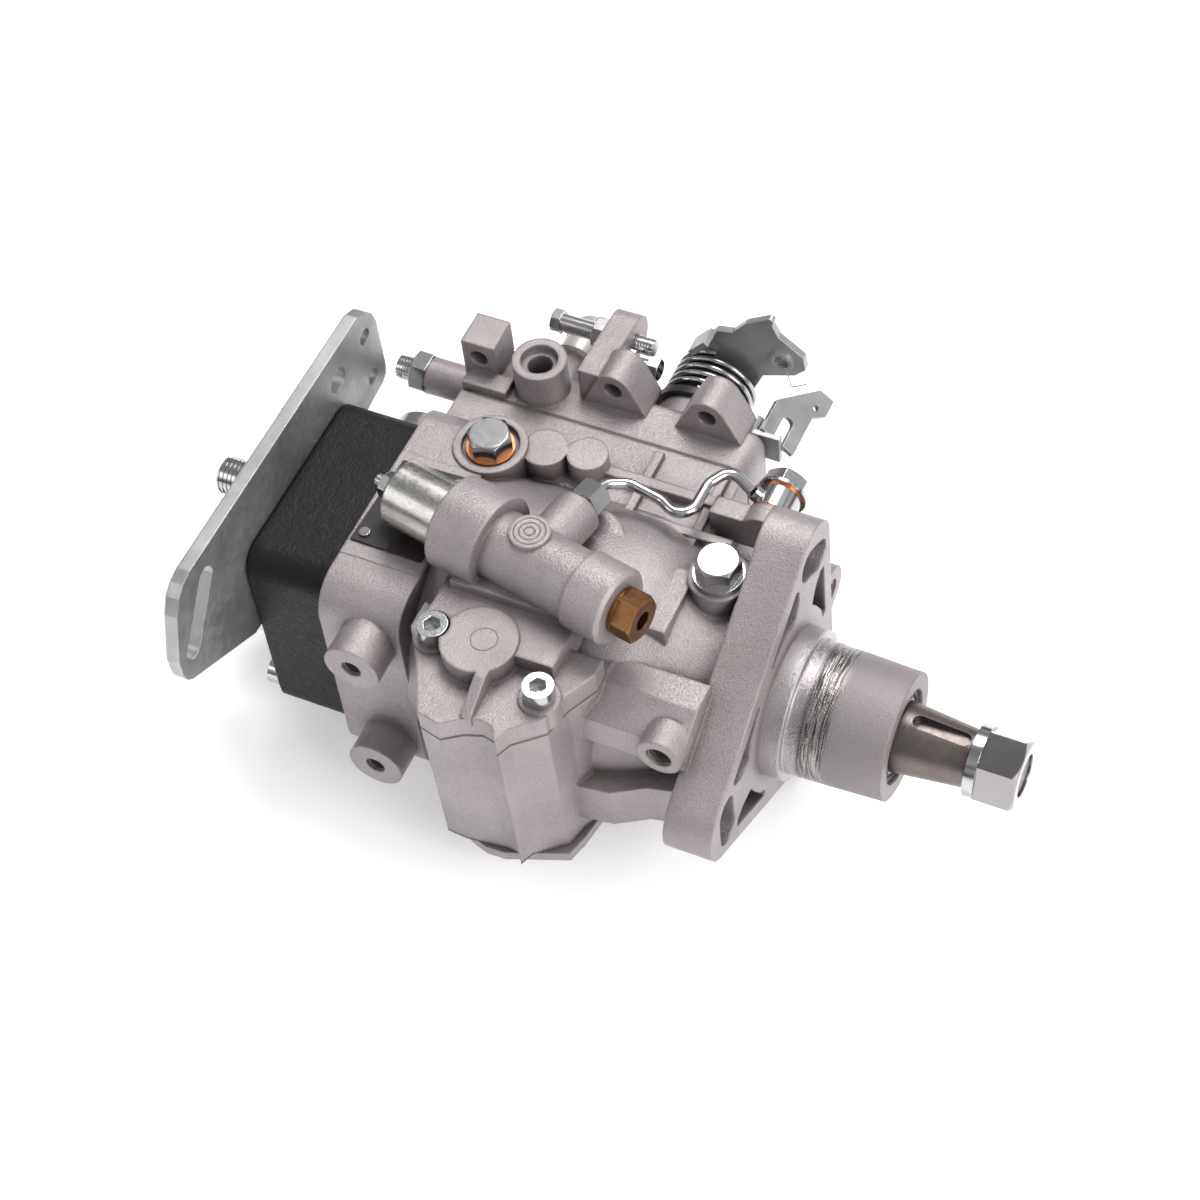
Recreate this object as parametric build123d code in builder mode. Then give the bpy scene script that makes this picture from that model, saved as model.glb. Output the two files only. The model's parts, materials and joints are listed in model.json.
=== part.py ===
from build123d import *
import os
from math import atan2, cos, pi, radians, sin, sqrt

# A distributor-type diesel injection pump for a four-cylinder engine.
# Millimetres. X runs along the drive shaft, out of the drive end; Y points to the governor
# cover; Z points to the side with the cold-start unit. The origin is the centre of the
# mounting pilot, on the front face of the mounting flange.

# drive end
flange_t = 16.0
pilot_r = 25.0
pilot_len = 7.0
snout_root_r = 22.4
snout_tip_r = 21.2
snout_end = 39.3
mount_circle_r = 49.0
ear_r = 13.0
slot_w = 11.0
slot_half_angle = 5.6
pocket_depth = 11.0
pocket_corner = 1.0
pocket_outline = (
    (41.8, 9.8), (42.6, 12.6), (21.5, 24.8), (20.2, 22.8),
    (24.2, 19.4), (28.6, 12.2), (30.5, 7.6), (37.0, 7.6)
)
seal_r = 15.8
seal_len = 9.0
seal_recess = 1.2
shaft_r = 12.5
taper_root_r = 11.8
taper_end = 61.6
taper_ratio = 0.1
keyway_w = 5.0
keyway_depth = 2.6
shaft_thread_r = 7.0
shaft_thread_end = 78.0
washer_t = 3.6
washer_r = 12.0
nut_af = 22.0
nut_h = 13.0
fit = 0.05
bush_wall = 2.0

# housing
body_r = 45.0
neck_r = 34.5
bore_r = 38.0
gear_room_r = 33.0
head_joint = -140.0
rear_block_len = 28.5
rear_block_half = 43.0
rear_block_low = -44.0
rear_block_corner = 12.0
chamber_front = -36.0
chamber_rear = -138.0
chamber_half = 34.0
chamber_top = 55.0
chamber_wall = 6.0
chamber_floor = 22.0
timing_x = -75.0
timing_y = -51.0
timing_r = 12.0
timing_low = 13.0 - body_r
timing_high = body_r - 11.0
timing_joint_y = -34.0
timing_root_y = -22.0
timing_top_outline = (
    (-105.9, -43.8), (-98.5, -55.0), (-89.7, -71.7), (-82.1, -73.6), (-76.0, -69.4), (-70.6, -67.6),
    (-66.2, -68.4), (-63.4, -72.6), (-61.2, -67.6), (-52.5, -60.0), (-50.0, -50.0), (-45.0, -40.0)
)
timing_foot_outline = (
    (-103.0, -42.0), (-97.5, -52.5), (-92.0, -66.4), (-85.1, -67.0), (-76.0, -66.2), (-69.9, -65.6),
    (-66.4, -66.0), (-64.4, -69.4), (-62.4, -64.6), (-53.0, -56.9), (-51.0, -49.0), (-47.0, -40.0)
)
timing_cover_outline = (
    (-100.0, -42.0), (-97.0, -53.0), (-89.5, -62.4), (-84.0, -65.6), (-78.0, -67.6), (-71.5, -67.4),
    (-51.5, -60.0), (-49.4, -52.0), (-48.0, -42.0)
)
rear_boss_x = -123.0
rear_boss_z = 27.0
rear_boss_y = -56.0
rear_boss_r = 9.5
m8_tap_r = 3.4
pad_z = 44.0

# supply pump and governor drive
supply_ring_r = 30.5
supply_front = -22.0
supply_w = 14.0
supply_plate_t = 4.0
supply_rotor_r = 23.5
supply_bore_r = 26.5
supply_offset = 1.8
vane_t = 3.0
gear_module = 1.5
drive_teeth = 37
governor_teeth = 23
gear_w = 7.0
gear_front = -42.5
governor_shaft_r = 4.0
weight_cage_r = 19.5
weight_cage_len = 15.0

# cam, plunger and head
roller_ring_r = 37.9
roller_ring_bore_r = 20.5
roller_ring_len = 18.0
roller_track_r = 28.0
roller_r = 6.5
roller_len = 12.0
lobe_rise = 2.2
cam_r = 35.0
cam_t = 8.0
plunger_r = 5.5
barrel_r = 11.0
barrel_nose = -128.0
spill_x = -110.0
head_t = 30.0
head_half = 40.0
head_low = -38.0
head_high = 36.0
head_corner = 9.0
valve_circle_r = 26.0
valve_af = 17.0
valve_thread_r = 6.0
valve_end = -200.0
plate_t = 5.0

# governor cover and its adjusters
cover_gasket_t = 1.0
cover_top = 73.0
cover_wall = 4.5
lug_face_y = 65.0
lug_depth = 13.0
lug_places = (-134.0, -86.7, -53.5)
lug_hole_z = 43.0
lug_r = 6.5
inlet_x = -112.8
inlet_y = 65.3
inlet_z = 48.0
inlet_r = 9.1
throttle_x = -65.5
throttle_z = 18.7
throttle_shaft_r = 5.0
lever_y = 104.0
lever_t = 2.5
spring_r = 13.6
spring_wire_r = 1.0
post_x = -95.0
post_w = 9.0
post_top = 101.0
stop_screw_y = 91.0
stop_screw_z = 37.5
idle_screw_y = 82.8
union_x = -114.0
union_z = 19.0
full_load_y = 71.5
full_load_z = 14.5

# cold-start unit
cold_axis_z = 57.0
cold_axis_x = -81.0
cold_axis_y = -16.0
cold_turn = -11.5
cold_body_r = 11.5
cold_boss_r = 15.5
cold_can_r = 11.0
m6_head_r = 5.0
m6_head_h = 6.0
m6_shank_r = 3.0

# places worked out from the sizes above
bell_rear = head_joint + rear_block_len - 0.5
plate_front = head_joint - head_t
plate_back = plate_front - plate_t
governor_y = gear_module * (drive_teeth + governor_teeth) / 2
gear_back = gear_front - gear_w
supply_back = supply_front - supply_w
supply_plate_back = supply_back - supply_plate_t
ring_front = timing_x + roller_ring_len / 2
ring_back = timing_x - roller_ring_len / 2
roller_x = ring_back + 3.0
cam_front = roller_x - roller_r - lobe_rise - 0.3
cam_back = cam_front - cam_t
cover_low = chamber_top + cover_gasket_t
lever_low = lever_y - lever_t
GAP = 0.3
cross_back = timing_x
bridge_t = 3.0
plunger_end = -160.0
barrel_back = -166.0
port_x = -148.0
spigot_front = head_joint + 6.0
spring_head_x = spigot_front + 0.95
spring_free = cam_back - GAP - bridge_t - 0.95 - spring_head_x
lever_x = spill_x - 1.0
lever_pivot_y = 32.0
head_screw_places = ((27.0, 33.0), (27.0, -33.0), (-30.0, 33.0), (-30.0, -33.0))
solenoid_x = -153.5
solenoid_z = 4.0
cover_screw_z = chamber_half - 7.0
cover_screw_places = tuple((x, side * cover_screw_z) for side in (1, -1) for x in (-130.0, -44.0))
full_load_end = chamber_rear - 22.0
union_y = 90.5
lever_ball = (-42.5, 37.0)
bracket_t = 2.0
bracket_foot = (-44.0, cover_screw_z)
cold_foot_z = timing_high + 1.0
cold_dome = (-81.0, -45.0)
cold_screw_places = ((-97.0, -45.0), (-57.0, -54.0))
cold_branch_root = (-75.5, -12.0, 55.0)
cold_branch_tip = (-72.8, 9.0, 52.0)
timing_cover_top = timing_low - 1.0
timing_screw_places = ((-93.0, -46.0), (-56.5, -49.0))
nameplate_z = pad_z - 0.8
rivet_places = ((-135.5, -17.0), (-116.0, 11.0))
side_plug = (-114.0, 30.0)
vent_plug = (-24.8, 8.0)
banjo = (-20.5, 42.6, 38.0)
banjo_seat = banjo[1] - 5.0
side_port = (-21.0, -50.0, 25.0)
pipe_points = (
    (-71.9875, 14.0, 51.1875), (-70.33, 24.2, 49.53), (-64.0, 28.5, 47.5), (-52.0, 26.5, 46.5),
    (-41.5, 20.0, 46.5), (-41.0, 38.0, 46.5), (-36.0, 45.0, 47.5), (-28.1, 42.0, 43.7)
)

os.makedirs("parts", exist_ok=True)


def save(piece, name):
    piece.part.label = name
    export_step(piece.part, f"parts/{name}.step")


def across(x):
    """Plane square to the drive shaft: sketch in (y, z), facing the drive end."""
    return Plane.YZ.offset(x)


def level(z):
    """Plane facing the cold-start side: sketch in (x, y)."""
    return Plane.XY.offset(z)


def upright(y):
    """Plane facing away from the governor cover: sketch in (x, z), extrudes towards -Y."""
    return Plane.XZ.offset(-y)


def skyward(x, y, z):
    """Plane facing the governor-cover side, through a point."""
    return Plane((x, y, z), x_dir=(0, 0, 1), z_dir=(0, 1, 0))


def endward(x, y, z, facing=1):
    """Plane facing along the drive shaft, through a point."""
    return Plane((x, y, z), x_dir=(0, 1, 0), z_dir=(facing, 0, 0))


def disc(plane, radius, length, mode=Mode.ADD, at=(0, 0)):
    """Adds or cuts a round bar from a plane in the part being built."""
    with BuildSketch(plane) as outline:
        with Locations(at):
            Circle(radius)
    extrude(outline.sketch, amount=length, mode=mode)


def hexagon(plane, flats, length, mode=Mode.ADD, turn=0):
    """Adds or cuts a hexagonal bar, given its width across flats."""
    with BuildSketch(plane) as outline:
        RegularPolygon(flats / 2, 6, major_radius=False, rotation=turn)
    extrude(outline.sketch, amount=length, mode=mode)


def block(plane, x_range, y_range, length, mode=Mode.ADD):
    """Adds or cuts a box standing on a rectangle of the plane."""
    with BuildSketch(plane) as outline:
        with Locations(((x_range[0] + x_range[1]) / 2, (y_range[0] + y_range[1]) / 2)):
            Rectangle(x_range[1] - x_range[0], y_range[1] - y_range[0])
    extrude(outline.sketch, amount=length, mode=mode)


def socket_screw(seat, shank, head_r=m6_head_r, head_h=m6_head_h, shank_r=m6_shank_r):
    """A socket-head screw with its head on the seat plane and its shank behind it."""
    disc(seat, head_r, head_h)
    hexagon(seat.offset(head_h), head_r, -head_h * 0.6, Mode.SUBTRACT)
    disc(seat, shank_r, -shank)


def crowned_hex(plane, flats, length, turn=0):
    """A hexagon on a plane, its far corners turned down by a 30 degree chamfer."""
    hexagon(plane, flats, length, turn=turn)
    inner, outer = flats * 0.48, flats * 0.6
    with BuildSketch(Plane(plane.origin, x_dir=plane.x_dir, z_dir=plane.y_dir)) as corner:
        with BuildLine():
            Polyline(
                (inner, -length), (outer, -length), (outer, -length + (outer - inner) * 0.58),
                (inner, -length)
            )
        make_face()
    revolve(corner.sketch, axis=Axis(plane.origin, plane.z_dir), mode=Mode.SUBTRACT)


def joined(outline, inner_y):
    """An outline of the timing block, closed by straight sides that run back to the housing."""
    return ((outline[0][0], inner_y), *outline, (outline[-1][0], inner_y))


# pump housing: one aluminium casting
with BuildPart() as pump_housing:
    # the bell, the snout and the pilot are turned about the shaft
    with BuildSketch(Plane.XY):
        with BuildLine():
            Polyline(
                (bell_rear, 0), (snout_end, 0), (snout_end, snout_tip_r), (pilot_len, snout_root_r),
                (pilot_len, pilot_r), (-flange_t / 2, pilot_r), (-flange_t / 2, neck_r), (-flange_t, neck_r)
            )
            Bezier((-flange_t, neck_r), (-34, neck_r), (-36, body_r), (-58, body_r))
            Polyline((-58, body_r), (bell_rear, body_r), (bell_rear, 0))
        make_face()
    revolve(axis=Axis.X)
    # three-eared mounting flange
    with BuildSketch(across(0)):
        with PolarLocations(mount_circle_r, 3, start_angle=60):
            Circle(ear_r)
        make_hull()
    extrude(amount=-flange_t)
    # square rear end that the distributor head bolts to
    with BuildSketch(across(head_joint)):
        with Locations(((rear_block_half + rear_block_low) / 2, 0)):
            RectangleRounded(rear_block_half - rear_block_low, 2 * rear_block_half, rear_block_corner)
    extrude(amount=rear_block_len)
    # governor chamber
    with BuildSketch(level(-chamber_half)):
        with Locations(((chamber_front + chamber_rear) / 2, (chamber_top + chamber_floor) / 2)):
            Rectangle(chamber_front - chamber_rear, chamber_top - chamber_floor)
    extrude(amount=2 * chamber_half)
    disc(across(chamber_front), 8.5, -3.0 - chamber_front, at=(governor_y, 0))
    # timing-device block across the bottom
    with BuildSketch(level(timing_low)):
        Polygon(*joined(timing_foot_outline, timing_root_y), align=None)
    with BuildSketch(level(timing_high)):
        Polygon(*joined(timing_top_outline, timing_root_y), align=None)
    loft(ruled=True)
    # bosses on the rear corners, facing down
    for z in (rear_boss_z, -rear_boss_z):
        with BuildSketch(upright(-30)):
            with Locations((rear_boss_x, z)):
                Circle(rear_boss_r)
        extrude(amount=-30 - rear_boss_y)
    # machined and cast pads on the cold-start side
    block(level(30), (head_joint, -112), (-26, 18), pad_z - 0.8 - 30)
    disc(level(28), 12.2, pad_z - 28, at=(-114.0, 30.0))
    disc(level(28), 7.6, 42.5 - 28, at=(-97.5, 36.0))
    disc(level(28), 6.8, 42.5 - 28, at=(-83.6, 38.5))
    disc(level(20), 9.8, 43.0 - 20, at=vent_plug)
    # machined disc, bar pad and ribs around the pipe
    disc(level(28), 17.0, 43.5 - 28, at=(-73.0, 2.8))
    block(level(20), (-39.0, -32.5), (-17.0, 8.0), 21.0)
    block(level(30), (-88.0, -28.2), (36.6, 40.4), 7.4)
    block(level(30), (-61.0, -28.2), (23.6, 26.8), 6.6)
    for x in (-64.5, -41.0):
        block(level(30), (x - 1.5, x + 1.5), (20, 52), 6.2)
    # face with the tapped side port, and the rib from the timing block to the low ear
    with BuildSketch(across(-50)):
        Polygon((-25, 33.5), (-35, 33.5), (-46, 27), (-47, 17), (-41, 8), (-20, 8), align=None)
    extrude(amount=36)
    disc(upright(-40), 7.4, -40 - side_port[1], at=(side_port[0], side_port[2]))
    with BuildSketch(level(-24)):
        Polygon((-52, -20), (-52, -51), (-40, -49.5), (-30, -43.5), (-14, -40), (-14, -20), align=None)
    extrude(amount=18)
    # seat for the pipe's banjo bolt, reached from the governor chamber
    disc(upright(30.6), 7.5, 30.6 - banjo_seat, at=(banjo[0], banjo[2]))
    block(level(30.5), (chamber_front - 2, banjo[0]), (30.6, banjo_seat), 12.0)
    # hollows
    disc(across(head_joint), bore_r, ring_front - head_joint + 8, Mode.SUBTRACT)
    disc(across(ring_front), gear_room_r, supply_plate_back - ring_front, Mode.SUBTRACT)
    disc(across(supply_plate_back), supply_ring_r + fit, supply_front - supply_plate_back, Mode.SUBTRACT)
    disc(across(supply_front), shaft_r + bush_wall, snout_end - supply_front, Mode.SUBTRACT)
    disc(across(snout_end), seal_r, -seal_len - seal_recess, Mode.SUBTRACT)
    block(
        level(-chamber_half + chamber_wall), (chamber_rear + chamber_wall, chamber_front - chamber_wall),
        (chamber_floor, chamber_top), 2 * (chamber_half - chamber_wall), Mode.SUBTRACT
    )
    disc(level(timing_low), timing_r, timing_high - timing_low, Mode.SUBTRACT, at=(timing_x, timing_y))
    block(level(-12), (timing_x - 6, timing_x + 6), (-48, -34), 24, Mode.SUBTRACT)
    disc(across(chamber_front - chamber_wall), governor_shaft_r, 40, Mode.SUBTRACT, at=(governor_y, 0))
    disc(upright(side_port[1]), 4.25, -14.0, Mode.SUBTRACT, at=(side_port[0], side_port[2]))
    # pockets beside each ear, in the front of the flange
    with BuildSketch(across(0)):
        with PolarLocations(0, 3, start_angle=60):
            for side in (1, -1):
                Polygon(*[(reach, side * offset) for reach, offset in pocket_outline], align=None)
        fillet(vertices(), pocket_corner)
    extrude(amount=-pocket_depth, mode=Mode.SUBTRACT)
    # mounting slots, curved about the shaft
    with BuildSketch(across(0)):
        for angle in (60, 180, 300):
            with BuildLine() as slot_path:
                CenterArc((0, 0), mount_circle_r, angle - slot_half_angle, 2 * slot_half_angle)
            SlotArc(slot_path.edge(), slot_w)
    extrude(amount=-flange_t, mode=Mode.SUBTRACT)
    for z in (rear_boss_z, -rear_boss_z):
        disc(upright(rear_boss_y), m8_tap_r, -14, Mode.SUBTRACT, at=(rear_boss_x, z))
    for y, z in head_screw_places:
        disc(across(head_joint), m6_shank_r, 15.0, Mode.SUBTRACT, at=(y, z))
    for x, z in cover_screw_places:
        disc(upright(chamber_top), 7.0, 20, at=(x, z))
        disc(upright(chamber_top), m6_shank_r, 19, Mode.SUBTRACT, at=(x, z))
    disc(level(-31), 2.5, 62, Mode.SUBTRACT, at=(lever_x, lever_pivot_y))
    for x, y in cold_screw_places:
        disc(level(timing_high), m6_shank_r, -15, Mode.SUBTRACT, at=(x, y))
    for x, y in timing_screw_places:
        disc(level(timing_low), m6_shank_r, 15, Mode.SUBTRACT, at=(x, y))
    for x, y in rivet_places:
        disc(level(nameplate_z), 1.0, -5.2, Mode.SUBTRACT, at=(x, y))
    disc(level(pad_z), 9.6, -2.0, Mode.SUBTRACT, at=side_plug)
    disc(level(pad_z), 5.0, -13.2, Mode.SUBTRACT, at=side_plug)
    disc(level(43), 5.0, -9.7, Mode.SUBTRACT, at=vent_plug)
    block(level(43), (vent_plug[0], vent_plug[0] + 9), (-2, 18), 9.0, Mode.SUBTRACT)
    disc(upright(banjo_seat), 4.0, 5.4, Mode.SUBTRACT, at=(banjo[0], banjo[2]))
save(pump_housing, "pump_housing")


# drive shaft and what turns with it
seal_front = snout_end - seal_recess
taper_tip_r = taper_root_r - taper_ratio * (taper_end - seal_front)
claw_back = gear_back - 22.0
claw_r = 17.0
claw_inner_r = 10.0
claw_half = 6.0
flange_back = gear_back - 4.0
with BuildPart() as drive_shaft:
    with BuildSketch(Plane.XY):
        with BuildLine():
            Polyline(
                (flange_back, 0), (flange_back, claw_r), (gear_back, claw_r), (gear_back, shaft_r),
                (seal_front, shaft_r), (seal_front, taper_root_r), (taper_end, taper_tip_r),
                (taper_end, shaft_thread_r), (shaft_thread_end - 1, shaft_thread_r),
                (shaft_thread_end, shaft_thread_r - 1), (shaft_thread_end, 0), (flange_back, 0)
            )
        make_face()
    revolve(axis=Axis.X)
    # two claws that reach back into the cross disc
    with BuildSketch(across(flange_back)):
        Circle(claw_r)
        Circle(claw_inner_r, mode=Mode.SUBTRACT)
        Rectangle(2 * claw_r, 2 * claw_half, mode=Mode.INTERSECT)
    extrude(amount=claw_back - flange_back)
    # keyway along the taper
    with BuildSketch(level(taper_tip_r - keyway_depth + 1)):
        with Locations((seal_front + 13.5, 0)):
            SlotOverall(19, keyway_w)
    extrude(amount=2 * keyway_depth + 2, mode=Mode.SUBTRACT)
save(drive_shaft, "drive_shaft")

with BuildPart() as lock_washer:
    disc(across(taper_end + 0.6), washer_r, washer_t)
    disc(across(taper_end + 0.6), shaft_thread_r + fit, washer_t, Mode.SUBTRACT)
    block(across(taper_end + 0.6), (2, washer_r + 2), (-0.8, 0.8), washer_t, Mode.SUBTRACT)
save(lock_washer, "lock_washer")

nut_seat = across(taper_end + 0.6 + washer_t)
with BuildPart() as shaft_nut:
    crowned_hex(nut_seat, nut_af, nut_h, turn=12)
    disc(nut_seat, shaft_thread_r + fit, nut_h, Mode.SUBTRACT)
save(shaft_nut, "shaft_nut")

with BuildPart() as drive_bushing:
    disc(across(supply_front), shaft_r + bush_wall - fit / 2, seal_front - seal_len - supply_front)
    disc(across(supply_front), shaft_r + fit, seal_front - seal_len - supply_front, Mode.SUBTRACT)
save(drive_bushing, "drive_bushing")

with BuildPart() as shaft_seal:
    disc(across(seal_front), seal_r - fit / 2, -seal_len)
    disc(across(seal_front), shaft_r + fit, -seal_len, Mode.SUBTRACT)
    disc(across(seal_front), seal_r - 2.0, -1.6, Mode.SUBTRACT)
    disc(across(seal_front - 1.6), shaft_r + 1.4, 1.0)
    disc(across(seal_front - 1.6), shaft_r + fit, 1.0, Mode.SUBTRACT)
save(shaft_seal, "shaft_seal")

with BuildPart() as supply_ring:
    disc(across(supply_front), supply_ring_r, -supply_w)
    disc(across(supply_front), supply_bore_r, -supply_w, Mode.SUBTRACT, at=(supply_offset, 0))
save(supply_ring, "supply_pump_ring")

with BuildPart() as supply_plate:
    disc(across(supply_back), supply_ring_r, -supply_plate_t)
    disc(across(supply_back), shaft_r + GAP, -supply_plate_t, Mode.SUBTRACT)
save(supply_plate, "supply_pump_plate")

side_play = 0.1
vane_root_r = 16.0
with BuildPart() as supply_rotor:
    disc(across(supply_front - side_play), supply_rotor_r, -supply_w + 2 * side_play)
    disc(across(supply_front), shaft_r + fit / 2, -supply_w, Mode.SUBTRACT)
    with BuildSketch(across(supply_front)):
        with PolarLocations((vane_root_r + supply_bore_r) / 2, 4, start_angle=45):
            Rectangle(supply_bore_r - vane_root_r, vane_t + 2 * fit)
    extrude(amount=-supply_w, mode=Mode.SUBTRACT)
save(supply_rotor, "supply_pump_rotor")

vane_tip_r = supply_bore_r - supply_offset - 2 * side_play
with BuildPart() as supply_vanes:
    with BuildSketch(across(supply_front - 2 * side_play)):
        with PolarLocations((vane_root_r + vane_tip_r) / 2 + 0.1, 4, start_angle=45):
            Rectangle(vane_tip_r - vane_root_r - 0.2, vane_t)
    extrude(amount=-supply_w + 4 * side_play)
save(supply_vanes, "supply_pump_vanes")


def tooth(teeth):
    """One involute tooth pointing along the sketch's first axis, thinned for backlash."""
    pitch_r = gear_module * teeth / 2
    base_r = pitch_r * cos(radians(20))
    tip_r = pitch_r + 0.92 * gear_module
    root_r = pitch_r - 1.25 * gear_module
    half = pi / (2 * teeth) - 0.12 / pitch_r
    start_r = max(base_r, root_r)
    flank = []
    for step in range(5):
        r = start_r + (tip_r - start_r) * step / 4
        press = sqrt(max(r * r / base_r**2 - 1, 0))
        angle = half + (sqrt((1 / cos(radians(20))) ** 2 - 1) - radians(20)) - (press - atan2(press, 1))
        flank.append((r * cos(angle), r * sin(angle)))
    inner = (root_r - 0.5) * cos(half), flank[0][1]
    upper = [inner, *flank]
    lower = [(x, -y) for x, y in reversed(upper)]
    return upper + lower


def toothed_disc(teeth):
    """Adds a spur gear blank and its teeth, in the sketch being drawn."""
    Circle(gear_module * teeth / 2 - 1.25 * gear_module)
    with PolarLocations(0, teeth):
        Polygon(*tooth(teeth), align=None)


with BuildPart() as drive_gear:
    with BuildSketch(across(gear_front)):
        toothed_disc(drive_teeth)
        Circle(shaft_r + fit / 2, mode=Mode.SUBTRACT)
    extrude(amount=-gear_w)
save(drive_gear, "governor_drive_gear")

cage_back = gear_back - weight_cage_len
with BuildPart() as governor_gear:
    with BuildSketch(across(gear_front)):
        with Locations((governor_y, 0)):
            toothed_disc(governor_teeth)
    extrude(amount=-gear_w)
    disc(across(gear_back), weight_cage_r, -1.6, at=(governor_y, 0))
    with BuildSketch(across(gear_back - 1.6)):
        with Locations((governor_y, 0)):
            with PolarLocations(weight_cage_r - 1.6, 4, start_angle=45):
                Rectangle(3.0, 7.0)
    extrude(amount=cage_back - gear_back + 1.6)
    disc(across(0), governor_shaft_r + fit, cage_back, Mode.SUBTRACT, at=(governor_y, 0))
save(governor_gear, "governor_gear")

with BuildPart() as flyweights:
    with BuildSketch(across(gear_back - 1.9)):
        with Locations((governor_y, 0)):
            with PolarLocations(0, 4):
                with Locations((13.0, 0)):
                    Rectangle(9.0, 13.0)
    extrude(amount=cage_back - gear_back + 3.0)
save(flyweights, "governor_flyweights")

governor_shaft_end = -100.0
with BuildPart() as governor_shaft:
    disc(across(-3.6), governor_shaft_r - fit / 2, governor_shaft_end + 3.6, at=(governor_y, 0))
    hexagon(Plane((-3.6, governor_y, 0), x_dir=(0, 1, 0), z_dir=(1, 0, 0)), 4.0, -4.0, Mode.SUBTRACT)
save(governor_shaft, "governor_shaft")

lever_t_x = 6.0
lever_front = spill_x + lever_t_x / 2 - 1.0
sleeve_end = lever_front + 1.5 + GAP
with BuildPart() as governor_sleeve:
    disc(across(cage_back + 1.0), 7.0, sleeve_end - cage_back - 1.0, at=(governor_y, 0))
    disc(across(0), governor_shaft_r + fit, lever_front, Mode.SUBTRACT, at=(governor_y, 0))
save(governor_sleeve, "governor_sleeve")


# roller ring, timing piston, cam and plunger
with BuildPart() as roller_ring:
    disc(across(ring_front), roller_ring_r, -roller_ring_len)
    disc(across(ring_front), roller_ring_bore_r, -roller_ring_len, Mode.SUBTRACT)
    # pockets that carry the rollers
    with BuildSketch(across(ring_back)):
        with PolarLocations(roller_track_r, 4, start_angle=45):
            Rectangle(roller_len + 2 * GAP, 2 * (roller_r + GAP))
    extrude(amount=roller_x + roller_r + GAP - ring_back, mode=Mode.SUBTRACT)
    # pin pressed into the ring, reaching into the timing piston
    disc(upright(-36), 3.5, 20, at=(timing_x, 0))
save(roller_ring, "roller_ring")

with BuildPart() as cam_rollers:
    for angle in (45, 135, 225, 315):
        outward = Vector(0, cos(radians(angle)), sin(radians(angle)))
        start = Vector(roller_x, 0, 0) + outward * (roller_track_r - roller_len / 2)
        disc(Plane(start, x_dir=(1, 0, 0), z_dir=outward), roller_r, roller_len)
save(cam_rollers, "cam_rollers")

piston_low = -12.0
piston_high = 28.0
spring_seat = piston_low + 8.0
with BuildPart() as timing_piston:
    disc(level(piston_low), timing_r - fit, piston_high - piston_low, at=(timing_x, timing_y))
    disc(level(piston_low), 9.0, spring_seat - piston_low, Mode.SUBTRACT, at=(timing_x, timing_y))
    disc(upright(timing_y + timing_r), 5.6, timing_r + 7, Mode.SUBTRACT, at=(timing_x, 0.0))
    disc(level(piston_high), timing_r - 1.0, 1.2, at=(timing_x, timing_y))
save(timing_piston, "timing_piston")


def coil(plane, mean_r, wire_r, length, turns):
    """A compression spring standing on a plane."""
    with BuildLine():
        path = Helix(length / turns, length, mean_r, center=plane.origin, direction=plane.z_dir)
    with BuildSketch(Plane(path @ 0, x_dir=plane.z_dir, z_dir=path % 0)) as wire:
        Circle(wire_r)
    sweep(wire.sketch, path=path, is_frenet=True)


with BuildPart() as timing_spring:
    foot = Plane((timing_x, timing_y, timing_low + 1.6), x_dir=(1, 0, 0), z_dir=(0, 0, 1))
    coil(foot, 6.5, 1.2, spring_seat - timing_low - 3.2, 4)
save(timing_spring, "timing_spring")

with BuildPart() as cam_plate:
    disc(across(cam_front), cam_r, -cam_t)
    for angle in (0, 90, 180, 270):
        outward = Vector(0, cos(radians(angle)), sin(radians(angle)))
        along = Vector(0, -sin(radians(angle)), cos(radians(angle)))
        with BuildSketch(Plane(Vector(cam_front, 0, 0) + outward * 19, x_dir=along, z_dir=outward)):
            with BuildLine():
                Line((-9, 0), (9, 0))
                Spline((-9, 0), (0, lobe_rise), (9, 0), tangents=((1, 0), (1, 0)))
            make_face()
        extrude(amount=cam_r - 21)
    disc(across(cam_front), 7.5, 9.0)
    # claws into the cross disc
    with BuildSketch(across(cam_front)):
        Circle(claw_r)
        Circle(claw_inner_r, mode=Mode.SUBTRACT)
        Rectangle(2 * claw_half, 2 * claw_r, mode=Mode.INTERSECT)
    extrude(amount=claw_back - 3.0 - cam_front)
save(cam_plate, "cam_plate")

with BuildPart() as cross_disc:
    disc(across(cross_back), 19.5, 6.0)
    for turn in (0, 90):
        with BuildSketch(across(cross_back)):
            Circle(claw_r + GAP)
            Circle(claw_inner_r - GAP, mode=Mode.SUBTRACT)
            Rectangle(50, 2 * claw_half + 2 * GAP, rotation=turn, mode=Mode.INTERSECT)
        extrude(amount=6.0, mode=Mode.SUBTRACT)
save(cross_disc, "cross_disc")

with BuildPart() as spring_bridge:
    with BuildSketch(across(cam_back - GAP)):
        SlotOverall(62, 20, rotation=90)
        Circle(12)
        Circle(plunger_r + GAP, mode=Mode.SUBTRACT)
    extrude(amount=-bridge_t)
    disc(across(cam_back - GAP), 7.8, -1.8, Mode.SUBTRACT)
save(spring_bridge, "spring_bridge")

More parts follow.
